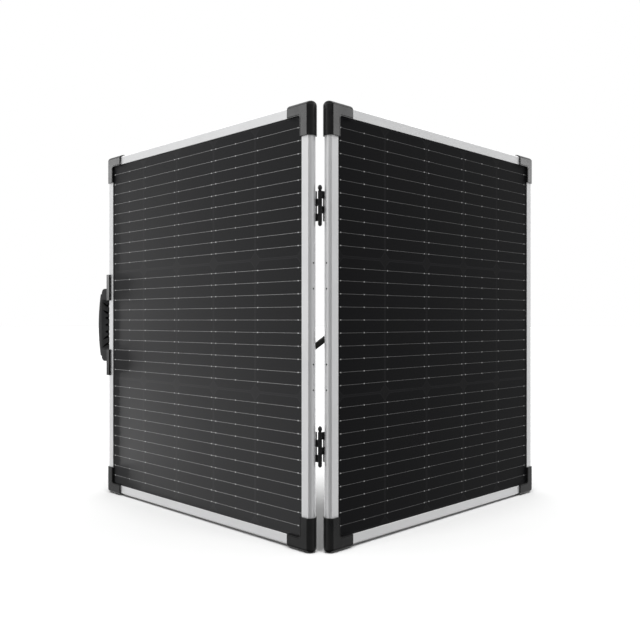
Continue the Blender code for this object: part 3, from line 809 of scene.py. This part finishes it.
def make_hinge_screws(panel):
    bm = bmesh.new()
    for height in ("upper", "lower"):
        low, high = panel.span("%s_hinge_%s_leaf" % (height, panel.name))
        for share in HINGE_SCREW_SHARES:
            z = low.z + (high.z - low.z) * share
            s = high.x - HINGE_SCREW_IN
            screw(bm, lambda a, b, level: (s + a, LEAF_BACK - level, z + b), 2.5, 0.12)
    panel_piece(panel.name + "_hinge_screws", bm, panel, (SCREW_STEEL,), "stainless_steel")


def groove_cutter(bm, under, sign, height, tip, sweep, radius):
    """A tapered capsule along the grip's underside, open at the back."""
    back = LEFT.span("handle_grip")[0].y - 2.0
    rings = []
    steps = 10
    for i in range(steps + 1):
        t = i / steps
        n = back + (tip - back) * t
        rise = sweep * t ** 2.4
        size = radius * math.sqrt(max(1 - t ** 3.0, 0.0)) * (1 - 0.28 * t) + 0.05
        z = MIDDLE + sign * (height + rise)
        ring = []
        for k in range(12):
            a = 2 * math.pi * k / 12
            ring.append((under + GROOVE_DEEP * math.cos(a) * size / radius, n, z + size * math.sin(a)))
        rings.append(ring)
    loft(bm, rings)


def cut_out(obj, cutter):
    """Subtract a helper from a piece and remove the helper; cut faces keep the helper's material."""
    obj.modifiers.clear()
    modifier = obj.modifiers.new("cut", "BOOLEAN")
    modifier.object = cutter
    modifier.operation = "DIFFERENCE"
    modifier.solver = "EXACT"
    modifier.material_mode = "TRANSFER"
    bpy.context.view_layer.update()
    done = bpy.data.meshes.new_from_object(obj.evaluated_get(bpy.context.evaluated_depsgraph_get()))
    obj.modifiers.clear()
    obj.data = done
    bpy.data.objects.remove(cutter, do_unlink=True)


def make_grip():
    """The grip, with its grooves cut and its rounded edges lighter only on the outer front, a painted
    highlight.
    """
    stile = LEFT.span("left_outer_stile")[1].x - BULGE
    finishes = (GRIP_PLASTIC, GRIP_PAINTED_HIGHLIGHT, GROOVE_PAINTED_SHADE)
    grip = refined("handle_grip", finishes, "grip_plastic", LEFT.body, 1.6, 4, 40.0)
    bm = bmesh.new()
    for groove in GROOVES:
        for sign in ((1,) if groove[0] == 0 else (1, -1)):
            groove_cutter(bm, stile + GRIP_UNDER, sign, *groove)
    for vert in bm.verts:
        vert.co = LEFT.place(vert.co)
    outward(bm)
    mesh = bpy.data.meshes.new("groove_cutter")
    bm.to_mesh(mesh)
    bm.free()
    mesh.materials.append(GROOVE_PAINTED_SHADE)
    cutter = bpy.data.objects.new("groove_cutter", mesh)
    bpy.context.scene.collection.objects.link(cutter)
    cut_out(grip, cutter)
    # Only the outer front edge keeps the painted highlight
    highlight_reach, highlight_depth = GRIP_HIGHLIGHT_SPAN
    for face in grip.data.polygons:
        arm = face.center - AXIS
        reach, depth = arm.dot(LEFT.along) / MM - stile, arm.dot(LEFT.out) / MM
        if face.material_index == 1 and (reach < highlight_reach or depth < highlight_depth):
            face.material_index = 0
    shade(grip.data, 38)


def make_handle_caps():
    """The grip's two caps, with painted shade on their side toward the panel, with a screw in the end of
    each.
    """
    for height in ("upper", "lower"):
        finishes = (PLASTIC, PLASTIC_PAINTED_SHADE, GROOVE_PAINTED_SHADE)
        cap = refined("handle_%s_cap" % height, finishes, "black_plastic", LEFT.body, 0.5, 3)
        # Painted shade on the faces that look toward the panel
        for face in cap.data.polygons:
            if face.normal.dot(LEFT.along) < -0.8:
                face.material_index = 2
    bm = bmesh.new()
    for height, way in (("upper", 1), ("lower", -1)):
        low, high = LEFT.span("handle_%s_cap" % height)
        z = (high.z if way > 0 else low.z) - way * CAP_SCREW_IN
        n = (low.y + high.y) / 2
        screw(bm, lambda a, b, level: (high.x + level, n + a, z + b), 3.2, 1.4)
    panel_piece("handle_cap_screws", bm, LEFT, (SCREW_STEEL,), "stainless_steel")


# ---------------------------------------------------------------- rear legs

def make_legs(panel):
    leg_metal = aluminium(panel.name + "_leg_aluminium", panel.turn, "z")
    edge = rubbed_and_highlit_aluminium(panel.name + "_leg_edge", panel.turn)
    for side in ("inner", "outer"):
        body = "%s_%s_leg" % (panel.name, side)
        refined(body, (leg_metal, edge), "anodised_aluminium", body, 0.5, 3)
        refined(body + "_foot", (FOOT_RUBBER, FOOT_RUBBER), "rubber", body, 0.6, 3)
        refined(body + "_bolt", (SCREW_STEEL, SCREW_STEEL), "stainless_steel", panel.body, 0.2, 2)
        make_foot_ribs(panel, body)


def make_foot_ribs(panel, body):
    """Raised bands round each rubber foot."""
    low, high = panel.span(body + "_foot")
    bm = bmesh.new()
    grow = 2 * FOOT_RIB_PROUD
    outline = rounded(high.x - low.x + grow, high.y - low.y + grow, 0.8, 3)
    s, n = (low.x + high.x) / 2, (low.y + high.y) / 2
    for k in range(FOOT_RIBS):
        z = low.z + FOOT_RIB_START + k * FOOT_RIB_PITCH
        slab(bm, outline, z, z + FOOT_RIB_HIGH, lambda a, b, level: (s + a, n + b, level))
    soften(bm, 0.2)
    panel_piece(body + "_foot_ribs", bm, panel, (FOOT_RUBBER, FOOT_RUBBER), "rubber", (), 35, body)


# ---------------------------------------------------------------- junction boxes and lead

def make_boxes(panel):
    name = panel.name + "_junction_box"
    refined(name, (BOX_PLASTIC, BOX_EDGE), "black_plastic", panel.body, 0.4, 3)
    refined(name + "_lid", (BOX_PLASTIC, BOX_EDGE), "black_plastic", panel.body, 0.35, 3)
    refined(panel.name + "_bypass_diode_block", (BOX_PLASTIC, BOX_EDGE), "black_plastic", panel.body, 0.5, 2)
    low, high = panel.span(name + "_lid")
    s, z = (low.x + high.x) / 2, (low.z + high.z) / 2
    bm = bmesh.new()
    outline = rounded(LID_RIB_LONG, LID_RIB_WIDE, 0.7, 3)
    for k in range(LID_RIBS):
        rib = z + LID_RIB_PITCH * (k - (LID_RIBS - 1) / 2)
        slab(bm, outline, low.y - 0.22, low.y + 0.3, lambda a, b, n: (s + a, n, rib + b))
    panel_piece(panel.name + "_box_lid_ribs", bm, panel, (BOX_PLASTIC,), "black_plastic")
    bm = bmesh.new()
    for sx in (-1, 1):
        for sz in (-1, 1):
            a0 = s + sx * ((high.x - low.x) / 2 - LID_SCREW_IN)
            b0 = z + sz * ((high.z - low.z) / 2 - LID_SCREW_IN)
            screw(bm, lambda a, b, level: (a0 + a, low.y - level, b0 + b), 2.6, 0.25)
    panel_piece(panel.name + "_box_screws", bm, panel, (SCREW_STEEL,), "stainless_steel")


def make_glands():
    for panel in PANELS:
        refined(panel.name + "_link_gland", (BOX_PLASTIC, BOX_EDGE), "black_plastic", panel.body, 0.25, 2)
        low, high = panel.span(panel.name + "_link_gland")
        n, z = (low.y + high.y) / 2, (low.z + high.z) / 2
        bm = bmesh.new()
        gland_nut(bm, lambda a, b, level: (high.x - level, n + a, z + b))
        panel_piece(panel.name + "_link_gland_nut", bm, panel, (BOX_PLASTIC, BOX_EDGE), "black_plastic")
    refined("right_output_gland", (BOX_PLASTIC, BOX_EDGE), "black_plastic", RIGHT.body, 0.25, 2)
    low, high = RIGHT.span("right_output_gland")
    s, n = (low.x + high.x) / 2, (low.y + high.y) / 2
    bm = bmesh.new()
    gland_nut(bm, lambda a, b, level: (s + a, n + b, high.z - level))
    panel_piece("right_output_gland_nut", bm, RIGHT, (BOX_PLASTIC, BOX_EDGE), "black_plastic")


def gland_nut(bm, put):
    """Ribbed nut and a soft nose that closes on the lead; level runs out from the box wall."""
    count = 48
    for low, high, radius, rib in ((5.2, 11.5, 4.0, 0.22), (12.2, 13.0, 4.05, 0.0), (13.8, 14.6, 4.0, 0.0)):
        rings = []
        for level in (low, high):
            ring = []
            for k in range(count):
                a = 2 * math.pi * k / count
                r = radius + (rib if k % 4 < 2 else 0.0)
                ring.append(put(r * math.cos(a), r * math.sin(a), level))
            rings.append(ring)
        loft(bm, rings)


def cable_route():
    """Points that the lead follows, gland to gland, in metres."""
    height = (LEFT.span("left_junction_box")[0].z + LEFT.span("left_junction_box")[1].z) / 2
    points = [LEFT.place((s, n, height - drop)) for s, n, drop in CABLE_HALF]
    points += [RIGHT.place((s, n, height + drop)) for s, n, drop in reversed(CABLE_HALF)]
    return points


def smooth_path(points, step):
    """Points about a step apart on a curve through the given points."""
    path = []
    count = len(points)
    for i in range(count - 1):
        before = points[max(i - 1, 0)]
        here, there = points[i], points[i + 1]
        after = points[min(i + 2, count - 1)]
        pieces = max(1, round((there - here).length / step))
        for k in range(pieces):
            t = k / pieces
            path.append(0.5 * (
                2 * here + (there - before) * t
                + (2 * before - 5 * here + 4 * there - after) * t * t
                + (3 * here - before - 3 * there + after) * t ** 3
            ))
    path.append(points[-1])
    return path


def twin_lead(path, radius, spread, sides):
    """A flat lead: two cores side by side in one jacket, the broad way of it kept upright."""
    bm = bmesh.new()
    rings = []
    for i, here in enumerate(path):
        ahead = (path[min(i + 1, len(path) - 1)] - path[max(i - 1, 0)]).normalized()
        broad = (UP - ahead * UP.dot(ahead)).normalized()
        thin = ahead.cross(broad)
        ring = []
        for k in range(sides):
            a = 2 * math.pi * (k + 0.5) / sides
            shift = spread if math.sin(a) > 0 else -spread
            ring.append(here + thin * (radius * math.cos(a)) + broad * (radius * math.sin(a) + shift))
        rings.append(ring)
    loft(bm, rings)
    return bm


def make_cable():
    path = smooth_path(cable_route(), CABLE_STEP * MM)
    bm = twin_lead(path, CABLE_R * MM, CABLE_SPREAD * MM, CABLE_SIDES)
    outward(bm)
    mesh = bpy.data.meshes.new("link_lead")
    bm.to_mesh(mesh)
    bm.free()
    shade(mesh, 50)
    lead = new_object("link_lead", mesh, (JACKET,), "cable_jacket", None, ("link_cable",), False)
    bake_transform(lead)


# ---------------------------------------------------------------- studio

def make_floor():
    bm = bmesh.new()
    bmesh.ops.create_grid(bm, x_segments=1, y_segments=1, size=FLOOR_HALF)
    mesh = bpy.data.meshes.new("floor")
    bm.to_mesh(mesh)
    bm.free()
    floor = bpy.data.objects.new("floor", mesh)
    bpy.context.scene.collection.objects.link(floor)
    mat, tree, shader = new_material("floor_paper", Roughness=0.9, Specular_IOR_Level=0.0)
    coords = add(tree, "ShaderNodeTexCoord").outputs["Object"]
    cloud = noise(tree, coords, 3.0, 2.0)
    paper = mix_colour(tree, remap(tree, cloud, 0, 1), (0.345, 0.345, 0.345), (0.355, 0.355, 0.355))
    finish(tree, shader, paper)
    mesh.materials.append(mat)
    floor.visible_glossy = False
    return floor


def math_node(tree, operation, *values, clamp=False):
    made = add(tree, "ShaderNodeMath", dict(enumerate(values)), operation=operation)
    made.use_clamp = clamp
    return made.outputs[0]


def band(tree, value, low, high):
    """0 below low, 1 above high, smooth between them."""
    made = add(tree, "ShaderNodeMapRange", {
        "Value": value, "From Min": low, "From Max": high, "To Min": 0.0, "To Max": 1.0,
    }, interpolation_type="SMOOTHSTEP")
    return made.outputs["Result"]


def blend_value(tree, factor, low, high):
    spread = math_node(tree, "SUBTRACT", high, low)
    return math_node(tree, "MULTIPLY_ADD", factor, spread, low)


def make_world():
    """A studio as light by direction: soft overhead, bright left and back, dim right and front."""
    world = bpy.data.worlds.new("studio")
    bpy.context.scene.world = world
    world.use_nodes = True
    tree = world.node_tree
    tree.nodes.clear()
    direction = add(tree, "ShaderNodeTexCoord").outputs["Generated"]
    x, y, z = add(tree, "ShaderNodeSeparateXYZ", {"Vector": direction}).outputs
    below = band(tree, z, 0.06, -0.16)
    left = blend_value(tree, below, SKY_LEFT, GROUND_LEFT)
    side = blend_value(tree, band(tree, x, -0.55, 0.45), left, WALL_RIGHT)
    rear = blend_value(tree, band(tree, y, 0.0, 0.42), side, WALL_BEHIND)
    wall = blend_value(tree, band(tree, y, -0.45, -0.85), rear, WALL_FRONT)
    wall = blend_value(tree, band(tree, z, -0.35, -0.75), wall, GROUND_UNDER)
    light = blend_value(tree, band(tree, z, 0.30, 0.80), wall, SKY_TOP)
    seen = add(tree, "ShaderNodeBackground", {"Color": (1, 1, 1, 1), "Strength": 1.0})
    cast = add(tree, "ShaderNodeBackground", {"Color": (1, 1, 1, 1), "Strength": light})
    to_camera = add(tree, "ShaderNodeLightPath").outputs["Is Camera Ray"]
    mix = add(tree, "ShaderNodeMixShader", {0: to_camera, 1: cast.outputs[0], 2: seen.outputs[0]})
    add(tree, "ShaderNodeOutputWorld", {"Surface": mix.outputs[0]})


def group(name, pieces):
    made = bpy.data.collections.new(name)
    for piece in pieces:
        made.objects.link(piece)
    return made


def wall_light(name, place, aim, wide, high, radiance, pieces, blockers=None):
    """A rectangle of light that only the given pieces catch; blockers are what can shade them."""
    data = bpy.data.lights.new(name, "AREA")
    data.shape = "RECTANGLE"
    data.size = wide
    data.size_y = high
    data.energy = radiance * math.pi * wide * high
    light = bpy.data.objects.new(name, data)
    bpy.context.scene.collection.objects.link(light)
    light.location = place
    light.rotation_euler = (Vector(aim) - Vector(place)).to_track_quat("-Z", "Y").to_euler()
    light.visible_camera = False
    light.light_linking.receiver_collection = group(name + "_receivers", pieces)
    if blockers:
        light.light_linking.blocker_collection = group(name + "_blockers", blockers)


def shown(slots):
    """Pieces whose finish comes from one of these slots."""
    found = []
    for obj in bpy.data.objects:
        if obj.type == "MESH" and not obj.hide_render and obj.get("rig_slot") in slots:
            found.append(obj)
    return found


def floor_suns(floor):
    """Soft light from above, from the front on both sides, that only the floor catches."""
    for side, around in (("left", -FLOOR_SUN_AROUND), ("right", FLOOR_SUN_AROUND)):
        data = bpy.data.lights.new("floor_sun_" + side, "SUN")
        data.energy = FLOOR_SUN / 2
        data.angle = math.radians(FLOOR_SUN_ANGLE)
        light = bpy.data.objects.new("floor_sun_" + side, data)
        bpy.context.scene.collection.objects.link(light)
        light.rotation_euler = (math.radians(FLOOR_SUN_LEAN), 0, math.radians(around))
        light.light_linking.receiver_collection = group("floor_%s_receivers" % side, [floor])


def make_lights():
    """Two upright cards for the black trim, and four cards on the left for the left glass."""
    trim = shown(("black_plastic",))
    middle = MIDDLE * MM + CAMERA_RISE + CARD_OVER_CAMERA + CARD_HIGH / 2
    aim = (AXIS.x, AXIS.y + CARD_BEHIND, middle)
    for side, way in (("left", -1), ("right", 1)):
        place = (AXIS.x + way * CARD_ASIDE, AXIS.y + CARD_BEHIND, middle)
        wall_light("card_" + side, place, aim, CARD_WIDE, CARD_HIGH, CARD, trim)
    panes = [o for o in shown(("solar_glass", "solar_cells")) if o.name.startswith("left")]
    frame_pieces = shown(("black_plastic", "anodised_aluminium", "grip_plastic"))
    aim = LEFT.place((*GLASS_AIM, MIDDLE))
    for name, place, wide, high, radiance in GLASS_CARDS:
        wall_light(name, place, aim, wide, high, radiance, panes, frame_pieces)
    for name, spot, wide, high, radiance in GRAZING_CARDS:
        wall_light(name, LEFT.place(spot), aim, wide, high, radiance, panes, frame_pieces)


def make_studio():
    floor = make_floor()
    floor_suns(floor)
    make_world()
    make_lights()
    bpy.context.scene.view_settings.view_transform = "Standard"


# ---------------------------------------------------------------- whole scene

make_camera()
make_cable()
for half in PANELS:
    make_frame(half)
    make_guards(half)
    make_guard_returns(half)
    make_hole_shade(half)
    make_guard_screws(half)
    make_glass(half)
    make_cells(half)
    make_wires(half)
    make_pads(half)
    make_seal(half)
    make_backsheet(half)
    make_hinge_screws(half)
    make_legs(half)
    make_boxes(half)
make_hinges()
make_grip()
make_handle_caps()
make_glands()
make_studio()
